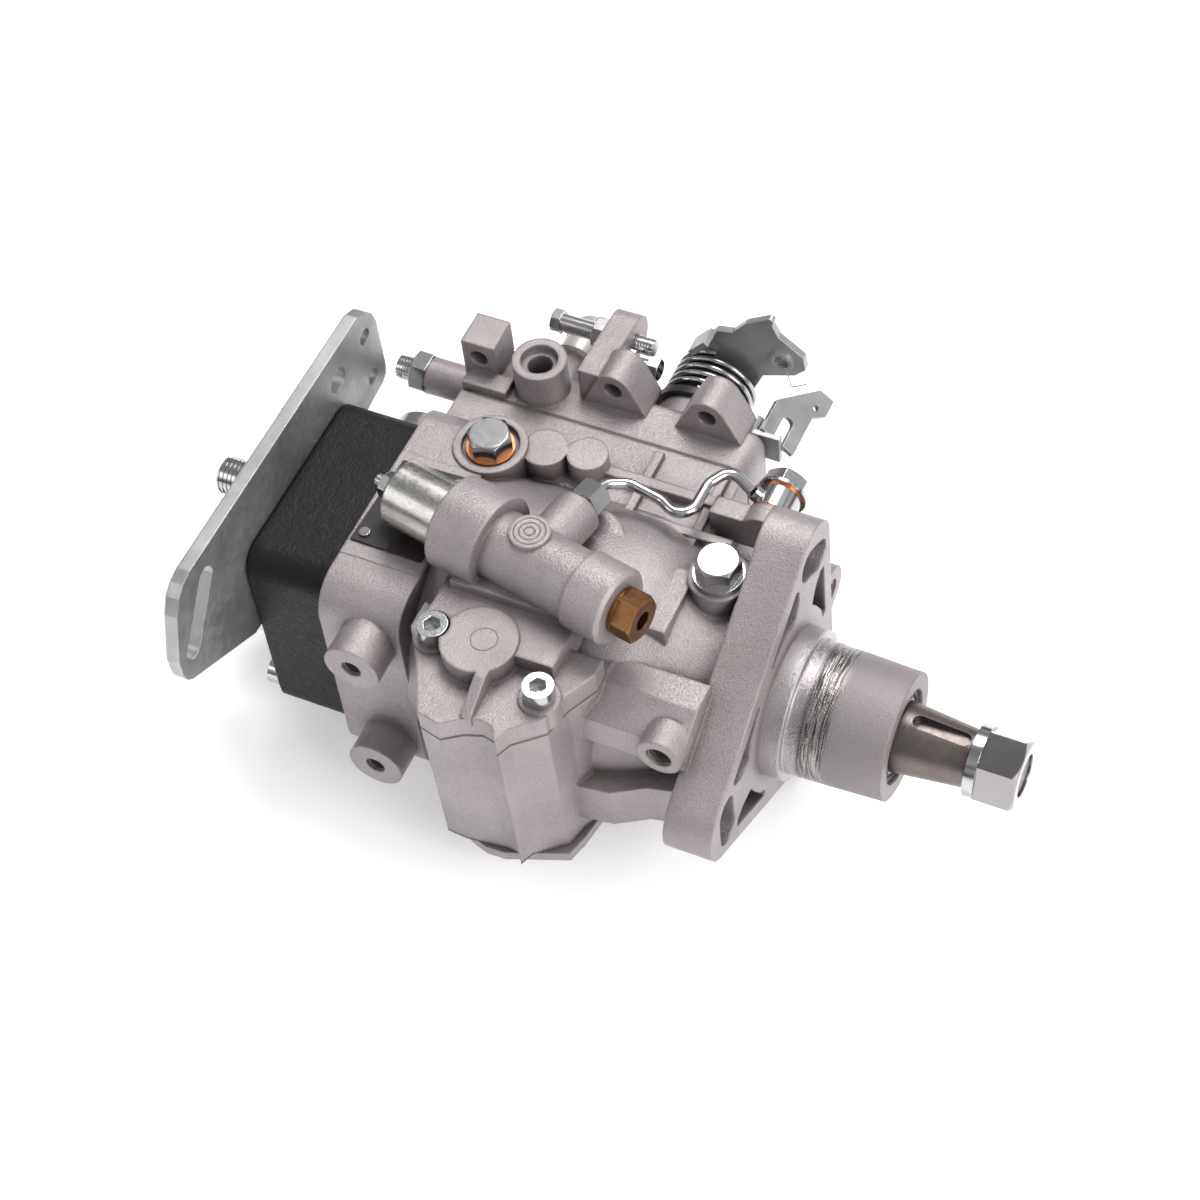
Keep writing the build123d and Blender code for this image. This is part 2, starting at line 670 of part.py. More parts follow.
with BuildPart() as distributor_plunger:
    disc(across(cam_back), plunger_r, plunger_end - cam_back)
    disc(across(cam_back), 7.5, -1.6)
    disc(across(plunger_end), 1.2, spill_x - plunger_end, Mode.SUBTRACT)
    disc(upright(8).offset(0), 1.4, 16, Mode.SUBTRACT, at=(spill_x, 0))
    # four filling slots at the nose and the delivery slot
    with BuildSketch(across(plunger_end)):
        with PolarLocations(plunger_r, 4, start_angle=45):
            Rectangle(2.4, 1.8)
    extrude(amount=9, mode=Mode.SUBTRACT)
    block(level(plunger_r - 1.0), (-150, -144), (-0.9, 0.9), 3, Mode.SUBTRACT)
save(distributor_plunger, "distributor_plunger")

with BuildPart() as plunger_springs:
    for z in (24, -24):
        coil(endward(spring_head_x, 0, z), 4.2, 0.9, spring_free, 6)
save(plunger_springs, "plunger_springs")

lever_ball_y = 9.8
with BuildPart() as spill_ring:
    disc(across(spill_x - 5), 10.0, 10.0)
    disc(across(spill_x - 5), plunger_r + fit, 10.0, Mode.SUBTRACT)
    with BuildSketch(across(lever_x - 3.2)):
        Circle(12)
        Circle(6.9, mode=Mode.SUBTRACT)
    extrude(amount=6.4, mode=Mode.SUBTRACT)
save(spill_ring, "spill_ring")

with BuildPart() as governor_lever:
    with BuildSketch(across(lever_front)):
        with BuildLine():
            Polyline(
                (14, -3), (24, -6), (52, -6), (57, 6), (68, 8), (68, 16), (56, 16), (50, 6), (24, 6),
                (14, 3), (14, -3)
            )
        make_face()
    extrude(amount=-lever_t_x)
    disc(Plane((lever_x, lever_pivot_y, -9), x_dir=(1, 0, 0), z_dir=(0, 0, 1)), 5.0, 18)
    disc(Plane((lever_front - 1.0, governor_y, -6.0)), 2.5, 12.0)
    disc(upright(16), 1.6, 16 - lever_ball_y, at=(lever_x, 0))
    with Locations((lever_x, lever_ball_y, 0)):
        Sphere(2.6)
    disc(level(-12), 2.5 + fit, 24, Mode.SUBTRACT, at=(lever_x, lever_pivot_y))
    disc(across(lever_front), 1.2, -lever_t_x, Mode.SUBTRACT, at=(64, 12))
save(governor_lever, "governor_lever")

with BuildPart() as lever_pivot_pin:
    disc(level(-31), 2.5, 62, at=(lever_x, lever_pivot_y))
save(lever_pivot_pin, "lever_pivot_pin")

with BuildPart() as governor_spring:
    coil(endward(lever_front + 0.9, 64.8, 12), 2.5, 0.7, 31.0, 7)
save(governor_spring, "governor_spring")

# distributor head
with BuildPart() as head:
    with BuildSketch(across(head_joint)):
        with Locations(((head_low + head_high) / 2, 0)):
            RectangleRounded(head_high - head_low, 2 * head_half, head_corner)
    extrude(amount=-head_t)
    chamfer(faces().sort_by(Axis.X)[0].edges(), 1.2)
    disc(across(head_joint), bore_r - fit, 6.0)
    disc(across(spigot_front), barrel_r + fit / 2, plate_front - spigot_front, Mode.SUBTRACT)
    for angle in range(0, 360, 90):
        y, z = valve_circle_r * cos(radians(angle)), valve_circle_r * sin(radians(angle))
        disc(across(plate_front), 7.0, 12.0, Mode.SUBTRACT, at=(y, z))
        disc(across(plate_front), 1.5, 24.0, Mode.SUBTRACT, at=(y, z))
        outward = Vector(0, cos(radians(angle)), sin(radians(angle)))
        passage = Plane(Vector(port_x, 0, 0) + outward * 10, x_dir=(1, 0, 0), z_dir=outward)
        disc(passage, 1.2, 17.0, Mode.SUBTRACT)
    for y, z in head_screw_places:
        disc(across(plate_front), m6_shank_r + 0.3, head_t, Mode.SUBTRACT, at=(y, z))
    disc(upright(head_high), 4.0, 9.0, Mode.SUBTRACT, at=(solenoid_x, solenoid_z))
    disc(upright(head_high), 2.8, 28.0, Mode.SUBTRACT, at=(solenoid_x, solenoid_z))
    disc(across(spigot_front), 3.0, -9, Mode.SUBTRACT, at=(16.0, -16.0))
save(head, "distributor_head")

with BuildPart() as barrel:
    disc(across(barrel_nose), barrel_r, barrel_back - barrel_nose)
    disc(across(barrel_nose), plunger_r + fit, plunger_end - 4 - barrel_nose, Mode.SUBTRACT)
    for angle in range(0, 360, 90):
        outward = Vector(0, cos(radians(angle)), sin(radians(angle)))
        disc(Plane((port_x, 0, 0), x_dir=(1, 0, 0), z_dir=outward), 1.2, 12.0, Mode.SUBTRACT)
save(barrel, "distributor_barrel")

with BuildPart() as centre_plug:
    disc(across(plate_front), 9.0, barrel_back - plate_front)
    crowned_hex(across(plate_front), 18.0, -6.5, turn=8)
    disc(across(plate_front - 6.5), 2.2, 3.5, Mode.SUBTRACT)
save(centre_plug, "head_centre_plug")

with BuildPart() as valve_holders:
    for angle in range(0, 360, 90):
        y, z = valve_circle_r * cos(radians(angle)), valve_circle_r * sin(radians(angle))
        seat = Plane((plate_front, y, z), x_dir=(0, 0, 1), z_dir=(-1, 0, 0))
        disc(seat, 7.0, -12)
        crowned_hex(seat.offset(1.0), valve_af, 12, turn=15)
        disc(seat, 7.0, 1.0)
        disc(seat.offset(13), valve_thread_r, -valve_end + plate_front - 13)
        disc(seat.offset(-12), 3.0, 30, Mode.SUBTRACT)
        disc(seat.offset(18), 1.0, 20, Mode.SUBTRACT)
    chamfer(faces().group_by(Axis.X)[0].edges().filter_by(lambda e: e.radius > 3), 1.0)
save(valve_holders, "delivery_valve_holders")

with BuildPart() as delivery_valves:
    for angle in range(0, 360, 90):
        y, z = valve_circle_r * cos(radians(angle)), valve_circle_r * sin(radians(angle))
        seat = Plane((plate_front + 12, y, z), x_dir=(0, 0, 1), z_dir=(-1, 0, 0))
        disc(seat, 2.9, 5)
        disc(seat.offset(5), 1.8, 3)
save(delivery_valves, "delivery_valves")

with BuildPart() as stop_solenoid:
    top = Plane((solenoid_x, head_high, solenoid_z), x_dir=(0, 0, 1), z_dir=(0, 1, 0))
    disc(top, 4.0, -9)
    crowned_hex(top, 24.0, 8.0)
    disc(top.offset(8), 12.0, 11.0)
    fillet(faces().sort_by(Axis.Y)[-1].edges(), 1.2)
    disc(top.offset(19), 2.0, 9.0)
    disc(top.offset(-9), 2.55, 23, Mode.SUBTRACT)
save(stop_solenoid, "stop_solenoid")

with BuildPart() as solenoid_plunger:
    disc(Plane((solenoid_x, 13.5, solenoid_z), x_dir=(0, 0, 1), z_dir=(0, 1, 0)), 2.5, 32)
save(solenoid_plunger, "solenoid_plunger")

# governor cover and its adjusters
with BuildPart() as governor_cover:
    with BuildSketch(upright(cover_low)):
        with Locations(((chamber_front + chamber_rear) / 2, 0)):
            RectangleRounded(chamber_front - chamber_rear, 2 * chamber_half, 6)
    extrude(amount=cover_low - cover_top)
    fillet(faces().sort_by(Axis.Y)[-1].edges(), 3.0)
    # lugs standing out on the cold-start side
    for x, half_base in ((lug_places[1], 11.0), (lug_places[2], 11.5)):
        with BuildSketch(upright(lug_face_y)):
            with Locations((x, lug_hole_z)):
                Circle(lug_r)
            with Locations((x, chamber_half - 0.5)):
                Rectangle(2 * half_base, 2)
            make_hull()
        extrude(amount=-lug_depth)
    block(upright(62.5), (-140, -128), (chamber_half - 1.5, 49.5), -13.0)
    block(upright(cover_low), (-138, -122), (chamber_half - 1.5, 37), -7.0)
    # inlet boss, return boss, throttle boss and full-load boss
    disc(level(28), inlet_r, inlet_z - 28, at=(inlet_x, inlet_y))
    disc(upright(68), 9.5, -21.5, at=(union_x, union_z))
    disc(upright(70), 13.5, -10, at=(throttle_x, throttle_z))
    disc(across(chamber_rear + 6), 6.5, -28, at=(full_load_y, full_load_z))
    # post that carries the speed screws
    with BuildSketch(across(post_x + post_w / 2)):
        with Locations((post_top - 8, stop_screw_z)):
            Circle(8)
        with Locations((70, 38)):
            Rectangle(8, 18)
        make_hull()
    extrude(amount=-post_w)
    # hollow inside, with corner bosses left for the screws
    with BuildSketch(upright(cover_low)):
        with Locations(((chamber_front + chamber_rear) / 2, 0)):
            RectangleRounded(
                chamber_front - chamber_rear - 2 * cover_wall, 2 * chamber_half - 2 * cover_wall, 3
            )
        with Locations(*cover_screw_places):
            Circle(7.0, mode=Mode.SUBTRACT)
    extrude(amount=cover_low - cover_top + cover_wall, mode=Mode.SUBTRACT)
    disc(level(inlet_z), 6.25, -3.0, Mode.SUBTRACT, at=(inlet_x, inlet_y))
    disc(level(inlet_z), 4.25, -20.0, Mode.SUBTRACT, at=(inlet_x, inlet_y))
    for x in lug_places:
        disc(upright(62), 3.2, -18, Mode.SUBTRACT, at=(x, lug_hole_z))
    for x, z in cover_screw_places:
        disc(upright(cover_low), m6_shank_r + 0.3, cover_low - cover_top, Mode.SUBTRACT, at=(x, z))
    disc(upright(cover_low), throttle_shaft_r + fit, -26, Mode.SUBTRACT, at=(throttle_x, throttle_z))
    disc(upright(cover_low), 4.0, -36, Mode.SUBTRACT, at=(union_x, union_z))
    disc(across(chamber_rear + 12), 4.0, -36, Mode.SUBTRACT, at=(full_load_y, full_load_z))
    disc(across(post_x + 8), 3.0, -16, Mode.SUBTRACT, at=(stop_screw_y, stop_screw_z))
    disc(across(post_x + 8), 2.5, -16, Mode.SUBTRACT, at=(idle_screw_y, stop_screw_z))
save(governor_cover, "governor_cover")

with BuildPart() as adjusting_screws:
    disc(across(-117.0), 3.0, 33.5, at=(stop_screw_y, stop_screw_z))
    crowned_hex(endward(-117.0, stop_screw_y, stop_screw_z, -1), 7.5, 3.6)
    block(across(-120.6), (stop_screw_y - 5, stop_screw_y + 5), (36.9, 38.1), 2.0, Mode.SUBTRACT)
    disc(across(-99.4), 2.5, 17.4, at=(idle_screw_y, stop_screw_z))
    crowned_hex(endward(-82.0, idle_screw_y, stop_screw_z), 7.0, 4.0)
    disc(across(full_load_end + 34), 4.0, -46, at=(full_load_y, full_load_z))
    block(
        across(full_load_end - 12), (full_load_y - 5, full_load_y + 5),
        (full_load_z - 0.6, full_load_z + 0.6), 2.5, Mode.SUBTRACT
    )
save(adjusting_screws, "adjusting_screws")

with BuildPart() as return_union:
    disc(skyward(union_x, union_y, union_z), 7.3, 8.6)
    bent = Plane((union_x, union_y + 4.3, union_z), x_dir=(0, 1, 0), z_dir=(-0.55, 0, -0.835))
    disc(bent, 3.6, 20)
    disc(bent.offset(20), 4.3, 3)
    disc(bent.offset(23), 3.6, 5)
    disc(skyward(union_x, union_y, union_z), 4.0 + fit, 8.6, Mode.SUBTRACT)
    disc(bent, 2.0, 28, Mode.SUBTRACT)
save(return_union, "return_union")

with BuildPart() as return_bolt:
    cap = skyward(union_x, union_y + 8.6 + 1.0, union_z)
    disc(cap, 4.0, -30)
    crowned_hex(cap, 14.0, 5.5, turn=10)
    disc(cap.offset(5.5), 6.4, 2.6)
    fillet(faces().sort_by(Axis.Y)[-1].edges(), 2.2)
    disc(cap.offset(-30), 2.0, 26, Mode.SUBTRACT)
    disc(across(union_x - 5), 1.2, 10, Mode.SUBTRACT, at=(union_y + 4.3, union_z))
save(return_bolt, "return_bolt")

# throttle
with BuildPart() as throttle_shaft:
    disc(skyward(throttle_x, 62.0, throttle_z), throttle_shaft_r, lever_y + 4.5 - 62.0)
    disc(skyward(throttle_x, 62.0, throttle_z), 8.0, 1.6)
    disc(skyward(throttle_x - 5.3, 62.0, throttle_z - 4.6), 1.2, 6.0)
save(throttle_shaft, "throttle_shaft")

with BuildPart() as throttle_boot:
    disc(skyward(throttle_x, 80.0, throttle_z), 15.5, 3.0)
    disc(skyward(throttle_x, 83.0, throttle_z), 12.2, 16.5)
    for y in (86.5, 90.5, 94.5):
        disc(skyward(throttle_x, y, throttle_z), 12.5, 1.6)
    disc(skyward(throttle_x, 80.0, throttle_z), throttle_shaft_r + 0.6, 19.5, Mode.SUBTRACT)
save(throttle_boot, "throttle_boot")

with BuildPart() as throttle_spring:
    with BuildLine():
        wind = Helix(3.2, 16.0, spring_r, center=(throttle_x, 84.3, throttle_z), direction=(0, 1, 0))
    with BuildSketch(Plane(wind @ 0, x_dir=(0, 1, 0), z_dir=wind % 0)) as wire:
        Circle(spring_wire_r)
    sweep(wire.sketch, path=wind, is_frenet=True)
save(throttle_spring, "throttle_spring")

with BuildPart() as throttle_lever:
    with BuildSketch(upright(lever_low)):
        with Locations((throttle_x, throttle_z)):
            Circle(12)
        Polygon(
            (-77, 22), (-73, 33), (-65.8, 42.3), (-60, 43.5), (-55.2, 49.5), (-44.4, 56.4), (-45.5, 52.0),
            (-43.5, 47.3), (-34.9, 40.6), (-34.2, 35.0), (-38.1, 30.9), (-49.5, 26.4), (-55, 14), align=None
        )
        with Locations((throttle_x, throttle_z)):
            Circle(throttle_shaft_r, mode=Mode.SUBTRACT)
    extrude(amount=-lever_t)
    # bush clinched into the plate
    disc(skyward(lever_ball[0], lever_low - 1.4, lever_ball[1]), 4.2, 1.4)
    disc(skyward(lever_ball[0], lever_low, lever_ball[1]), 3.4, 5.5)
    fillet(edges().filter_by(Axis.Y).filter_by(lambda e: e.center().X > -60 and e.center().Z > 27), 1.2)
    # tang folded down over the spring
    with BuildSketch(Plane((-69.5, lever_low, 39.0), x_dir=(0.66, 0, 0.75), z_dir=(0, -1, 0))):
        Rectangle(9.0, 2.2)
    extrude(amount=7.0)
    disc(skyward(lever_ball[0], lever_low - 1.4, lever_ball[1]), 2.6, 6.9, Mode.SUBTRACT)
save(throttle_lever, "throttle_lever")

# spring bracket
with BuildPart() as spring_bracket:
    face = Plane((-34.0, 76.0, 28.0), x_dir=(0.75, 0, -0.66), z_dir=(0.66, 0, 0.75))
    with BuildSketch(face):
        Polygon((-7, -1), (7, -1), (7, 16), (11, 20), (11, 27), (5, 27), (-7, 12), align=None)
        with Locations((0, 3.0)):
            Rectangle(4.4, 9)
        with Locations((0, 7.5)):
            Circle(2.2)
        with Locations((0, 2.0)):
            Rectangle(4.4, 11, mode=Mode.SUBTRACT)
        with Locations((0, 7.5)):
            Circle(2.2, mode=Mode.SUBTRACT)
        with Locations((6.5, 20)):
            Circle(1.2, mode=Mode.SUBTRACT)
    extrude(amount=1.0, both=True)
    block(upright(cover_top), (-50, -32), (bracket_foot[1] - 6, bracket_foot[1] + 5), -bracket_t)
    disc(upright(cover_top), m6_shank_r + fit, -bracket_t, Mode.SUBTRACT, at=bracket_foot)
save(spring_bracket, "spring_bracket")

# cold-start unit on the timing block
def along_cold(distance):
    """Plane square to the cold-start cylinder, its distance along the axis from the pad."""
    reach = Vector(cos(radians(cold_turn)), sin(radians(cold_turn)), 0)
    place = Vector(cold_axis_x, cold_axis_y, cold_axis_z) + reach * distance
    return Plane(place, x_dir=(0, 0, 1), z_dir=reach)


with BuildPart() as cold_start_housing:
    # cover over the timing piston
    with BuildSketch(level(cold_foot_z)):
        Polygon(*joined(timing_top_outline, timing_joint_y), align=None)
    extrude(amount=8.0)
    disc(level(cold_foot_z), 12.3, 15.0, at=cold_dome)
    for x, y in cold_screw_places:
        disc(level(cold_foot_z), 6.6, 9.0, at=(x, y))
    # rib from the dome to the front edge
    with BuildSketch(across(cold_dome[0] + 4.5)):
        Polygon((-54, 50), (-57.5, 50), (-69, 44.4), (-69, 40), (-54, 40), align=None)
    extrude(amount=3.6)
    # foot and web under the cylinder
    block(level(cold_foot_z + 2), (-101, -56), (-46, -14), 12.0)
    block(level(cold_foot_z + 6), (-98, -58), (-30, -10), 12.0)
    disc(along_cold(-24), cold_boss_r, 17.0)
    disc(along_cold(-8), cold_body_r, 34.0)
    disc(along_cold(25), cold_body_r + 1.2, 14.0)
    chamfer(faces().sort_by(Axis.X)[-1].edges(), 1.2)
    disc(level(cold_axis_z), 6.5, cold_body_r + 1.0, at=(-76.0, -15.0))
    # side branch that the pressure pipe screws into
    reach = Vector(*cold_branch_tip) - Vector(*cold_branch_root)
    branch = Plane(cold_branch_root, x_dir=(1, 0, 0), z_dir=reach)
    disc(branch, 8.0, reach.length)
    # bores and the clearance over the housing
    disc(across(head_joint), body_r + 0.8, -2 * head_joint, Mode.SUBTRACT)
    for x, y in cold_screw_places:
        disc(level(cold_foot_z + 9), 5.7, 12.0, Mode.SUBTRACT, at=(x, y))
    disc(along_cold(-24), 8.0, 48.0, Mode.SUBTRACT)
    disc(along_cold(24), 7.0, 15.0, Mode.SUBTRACT)
    disc(branch.offset(8), 2.0, 40.0, Mode.SUBTRACT)
    for x, y in cold_screw_places:
        disc(level(cold_foot_z), m6_shank_r + 0.3, 9.0, Mode.SUBTRACT, at=(x, y))
    disc(level(cold_foot_z), 11.0, 3.0, Mode.SUBTRACT, at=(timing_x, timing_y))
save(cold_start_housing, "cold_start_housing")

with BuildPart() as cold_start_valve:
    disc(along_cold(-46), cold_can_r, 22.0)
    fillet(faces().sort_by(Axis.X)[0].edges(), 1.2)
    disc(along_cold(-46), 2.0, -9.0)
    disc(along_cold(-24), 7.95, 14.0)
    disc(along_cold(-24), 3.0 + fit, 14.0, Mode.SUBTRACT)
save(cold_start_valve, "cold_start_valve")

with BuildPart() as brass_plug:
    disc(along_cold(31.5), 7.0, 7.5)
    disc(along_cold(39), 7.6, 1.2)
    crowned_hex(along_cold(40.2), 14.0, 7.0, turn=12)
    disc(along_cold(47.2), 3.2, -9.0, Mode.SUBTRACT)
save(brass_plug, "brass_plug")

# pressure pipe
with BuildPart() as pressure_pipe:
    with BuildLine() as run:
        FilletPolyline(*pipe_points, radius=5.0)
    with BuildSketch(Plane(run.line @ 0, z_dir=run.line % 0)) as bore_outline:
        Circle(1.8)
    sweep(bore_outline.sketch, path=run.line)
    disc(Plane(banjo, x_dir=(0, 1, 0), z_dir=(-0.8, 0, 0.6)), 2.9, 9.0)
    disc(skyward(*banjo).offset(-4), 7.0, 8.0)
    disc(skyward(*banjo).offset(-4), 4.0, 8.0, Mode.SUBTRACT)
save(pressure_pipe, "pressure_pipe")

with BuildPart() as union_nut:
    heading = Vector(*pipe_points[1]) - Vector(*pipe_points[0])
    neck = Plane(cold_branch_tip, x_dir=(1, 0, 0), z_dir=heading).offset(0.8)
    disc(neck, 4.6, 1.5)
    crowned_hex(neck.offset(1.5), 11.0, 8.0)
    disc(neck, 1.8 + fit, 9.5, Mode.SUBTRACT)
save(union_nut, "union_nut")

with BuildPart() as banjo_bolt:
    disc(skyward(*banjo).offset(5.0), 4.0, -15.0)
    crowned_hex(skyward(*banjo).offset(5.0), 13.0, 6.5)
    disc(skyward(*banjo).offset(5.0), 8.2, 1.2)
save(banjo_bolt, "banjo_bolt")

# plate on the rear end
with BuildPart() as rear_support_plate:
    with BuildSketch(across(plate_front)):
        with BuildLine():
            ThreePointArc((31.9, 18.4), (0, 36.8), (-36.6, 3.6))
            Polyline(
                (-36.6, 3.6), (-40.6, 3.6), (-75, 23), (-77.4, 25.4), (-78.6, 28.5), (-78.9, 36), (-73.6, 53),
                (-70.5, 58.5), (-66.5, 61.4), (-62, 62.5), (50, 61.8), (55, 59.5), (58.3, 55.5), (60, 50),
                (60.4, 28), (59.4, 24.6), (57, 22.8), (43, 21), (31.9, 18.4)
            )
        make_face()
        with Locations((51.7, 50.6), (52.1, 30.7)):
            Circle(3.0, mode=Mode.SUBTRACT)
        with Locations((32.4, 49.6)):
            Circle(4.6, mode=Mode.SUBTRACT)
        with Locations(*[place for place in head_screw_places if place[1] > 0]):
            Circle(m6_shank_r + 0.3, mode=Mode.SUBTRACT)
        with Locations((-63.5, 42.7)):
            SlotCenterToCenter(23.8, 8.0, rotation=51, mode=Mode.SUBTRACT)
    extrude(amount=-plate_t)
    chamfer(faces().sort_by(Axis.X)[0].edges(), 0.6)
save(rear_support_plate, "rear_support_plate")

# timing cover and the gaskets
with BuildPart() as timing_cover:
    with BuildSketch(level(timing_cover_top)):
        Polygon(*joined(timing_cover_outline, timing_joint_y), align=None)
    extrude(amount=-4.0)
    disc(level(timing_cover_top - 4.0), 11.0, -3.0, at=(timing_x, timing_y))
    for x, y in timing_screw_places:
        disc(level(timing_cover_top), m6_shank_r + 0.3, -4.0, Mode.SUBTRACT, at=(x, y))
save(timing_cover, "timing_cover")

with BuildPart() as gaskets:
    for bottom, outline, screws in (
        (timing_high, timing_top_outline, cold_screw_places),
        (timing_low - 1.0, timing_foot_outline, timing_screw_places)
    ):
        with BuildSketch(level(bottom)):
            Polygon(*joined(outline, timing_joint_y), align=None)
            with Locations((timing_x, timing_y)):
                Circle(timing_r, mode=Mode.SUBTRACT)
            with Locations(*screws):
                Circle(m6_shank_r + 0.3, mode=Mode.SUBTRACT)
        extrude(amount=1.0)
    with BuildSketch(upright(chamber_top)):
        with Locations(((chamber_front + chamber_rear) / 2, 0)):
            RectangleRounded(chamber_front - chamber_rear, 2 * chamber_half, 6)
            RectangleRounded(
                chamber_front - chamber_rear - 2 * cover_wall, 2 * chamber_half - 2 * cover_wall, 3,
                mode=Mode.SUBTRACT
            )
        with Locations(*cover_screw_places):
            Circle(6.9)
            Circle(m6_shank_r + 0.3, mode=Mode.SUBTRACT)
    extrude(amount=-cover_gasket_t)
save(gaskets, "gaskets")

# fasteners and small parts
with BuildPart() as socket_screws:
    for y, z in head_screw_places:
        rear = plate_back if z > 0 else plate_front
        seat = Plane((rear, y, z), x_dir=(0, 0, 1), z_dir=(-1, 0, 0))
        socket_screw(seat, head_joint - rear + 14)
    for x, z in cover_screw_places:
        clamped = bracket_t if (x, z) == bracket_foot else 0
        socket_screw(skyward(x, cover_top + clamped, z), cover_top + clamped - chamber_top + 18)
    for x, y in cold_screw_places:
        socket_screw(Plane((x, y, cold_foot_z + 9)), 24)
    for x, y in timing_screw_places:
        seat = Plane((x, y, timing_cover_top - 4), x_dir=(1, 0, 0), z_dir=(0, 0, -1))
        socket_screw(seat, 18)
save(socket_screws, "socket_screws")

with BuildPart() as terminal_insulators:
    disc(top.offset(19), 5.5, 2.4)
    disc(top.offset(19), 2.0, 2.4, Mode.SUBTRACT)
    disc(along_cold(-46), 5.0, -2.6)
    disc(along_cold(-46), 2.0, -2.6, Mode.SUBTRACT)
save(terminal_insulators, "terminal_insulators")

with BuildPart() as hex_nuts:
    crowned_hex(top.offset(21.4), 8.0, 3.6)
    disc(top.offset(21.4), 2.0, 3.6, Mode.SUBTRACT)
    tip = along_cold(-48.6)
    crowned_hex(Plane(tip.origin, x_dir=tip.x_dir, z_dir=-tip.z_dir), 8.0, 3.6)
    disc(along_cold(-48.6), 2.0, -3.6, Mode.SUBTRACT)
    for x, y, z, flats, high, thread in (
        (post_x - post_w / 2, stop_screw_y, stop_screw_z, 10.0, 5.5, 3.0),
        (post_x + post_w / 2, idle_screw_y, stop_screw_z, 8.0, 3.6, 2.5),
        (full_load_end, full_load_y, full_load_z, 13.0, 6.0, 4.0)
    ):
        facing = 1 if x > post_x else -1
        crowned_hex(endward(x, y, z, facing), flats, high)
        disc(endward(x, y, z, facing), thread, high, Mode.SUBTRACT)
save(hex_nuts, "hex_nuts")

with BuildPart() as nameplate:
    with BuildSketch(level(nameplate_z)):
        Polygon((-137.5, 14), (-139, -20.6), (-114, -21), (-112.4, 14.6), align=None)
        with Locations(*rivet_places):
            Circle(1.0, mode=Mode.SUBTRACT)
    extrude(amount=0.7)
save(nameplate, "nameplate")

with BuildPart() as nameplate_rivets:
    for x, y in rivet_places:
        disc(level(nameplate_z - 5), 1.0, 5.7, at=(x, y))
        disc(level(nameplate_z + 0.7), 1.8, 0.9, at=(x, y))
save(nameplate_rivets, "nameplate_rivets")

with BuildPart() as housing_plugs:
    side = Plane((side_plug[0], side_plug[1], 43.0))
    disc(side, 5.0, -12.0)
    crowned_hex(side, 13.0, 6.5, turn=10)
    vent = Plane((vent_plug[0], vent_plug[1], 43.0))
    disc(vent, 5.0, -9.5)
    disc(vent, 8.2, 2.0)
    crowned_hex(vent.offset(2.0), 13.0, 6.5, turn=20)
save(housing_plugs, "housing_plugs")

with BuildPart() as sealing_washers:
    for angle in range(0, 360, 90):
        y, z = valve_circle_r * cos(radians(angle)), valve_circle_r * sin(radians(angle))
        disc(across(plate_front), 8.2, -0.9, at=(y, z))
        disc(across(plate_front), 7.0, -0.9, Mode.SUBTRACT, at=(y, z))
    for y in (union_y - 1.0, union_y + 8.6):
        disc(skyward(union_x, y, union_z), 7.6, 1.0)
        disc(skyward(union_x, y, union_z), 4.0, 1.0, Mode.SUBTRACT)
    for offset in (-5.0, 4.0):
        disc(skyward(*banjo).offset(offset), 6.6, 1.0)
        disc(skyward(*banjo).offset(offset), 4.0, 1.0, Mode.SUBTRACT)
    disc(level(42), 8.0, 1.0, at=side_plug)
    disc(level(42), 5.0, 1.0, Mode.SUBTRACT, at=side_plug)
save(sealing_washers, "sealing_washers")
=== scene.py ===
import bpy
import json
import math
from mathutils import Matrix, Vector


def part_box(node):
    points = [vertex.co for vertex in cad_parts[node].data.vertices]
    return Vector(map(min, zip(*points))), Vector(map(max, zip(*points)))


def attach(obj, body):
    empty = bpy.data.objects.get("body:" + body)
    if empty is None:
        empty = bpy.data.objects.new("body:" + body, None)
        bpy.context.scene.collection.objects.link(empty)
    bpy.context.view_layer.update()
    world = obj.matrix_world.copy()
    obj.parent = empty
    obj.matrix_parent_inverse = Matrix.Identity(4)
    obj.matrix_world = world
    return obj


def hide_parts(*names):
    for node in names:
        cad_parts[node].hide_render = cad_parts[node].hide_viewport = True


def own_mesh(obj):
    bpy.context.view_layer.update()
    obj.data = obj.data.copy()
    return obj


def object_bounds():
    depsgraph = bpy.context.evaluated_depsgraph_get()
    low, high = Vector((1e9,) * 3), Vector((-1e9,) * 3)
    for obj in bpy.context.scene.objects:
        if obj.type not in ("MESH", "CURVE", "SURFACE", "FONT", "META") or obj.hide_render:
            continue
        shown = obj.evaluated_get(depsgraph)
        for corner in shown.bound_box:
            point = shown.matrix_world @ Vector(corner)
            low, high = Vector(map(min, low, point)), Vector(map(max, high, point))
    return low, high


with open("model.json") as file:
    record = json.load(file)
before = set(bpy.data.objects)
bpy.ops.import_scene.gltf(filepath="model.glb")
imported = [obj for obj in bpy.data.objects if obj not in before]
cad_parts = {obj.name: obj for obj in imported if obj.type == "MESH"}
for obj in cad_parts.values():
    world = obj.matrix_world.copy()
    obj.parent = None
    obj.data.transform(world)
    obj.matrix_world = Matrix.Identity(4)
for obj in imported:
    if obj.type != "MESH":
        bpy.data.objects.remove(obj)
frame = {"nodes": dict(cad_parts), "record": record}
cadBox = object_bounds()
nodes = frame["nodes"]
print("frame loaded:", len(nodes), "nodes")


white = (1, 1, 1)


def grey(level):
    return (level, level, level)


def newMaterial(name):
    material = bpy.data.materials.new(name)
    material.use_nodes = True
    tree = material.node_tree
    shader = tree.nodes["Principled BSDF"]
    where = tree.nodes.new("ShaderNodeTexCoord")
    return material, tree, shader, where.outputs["Object"]


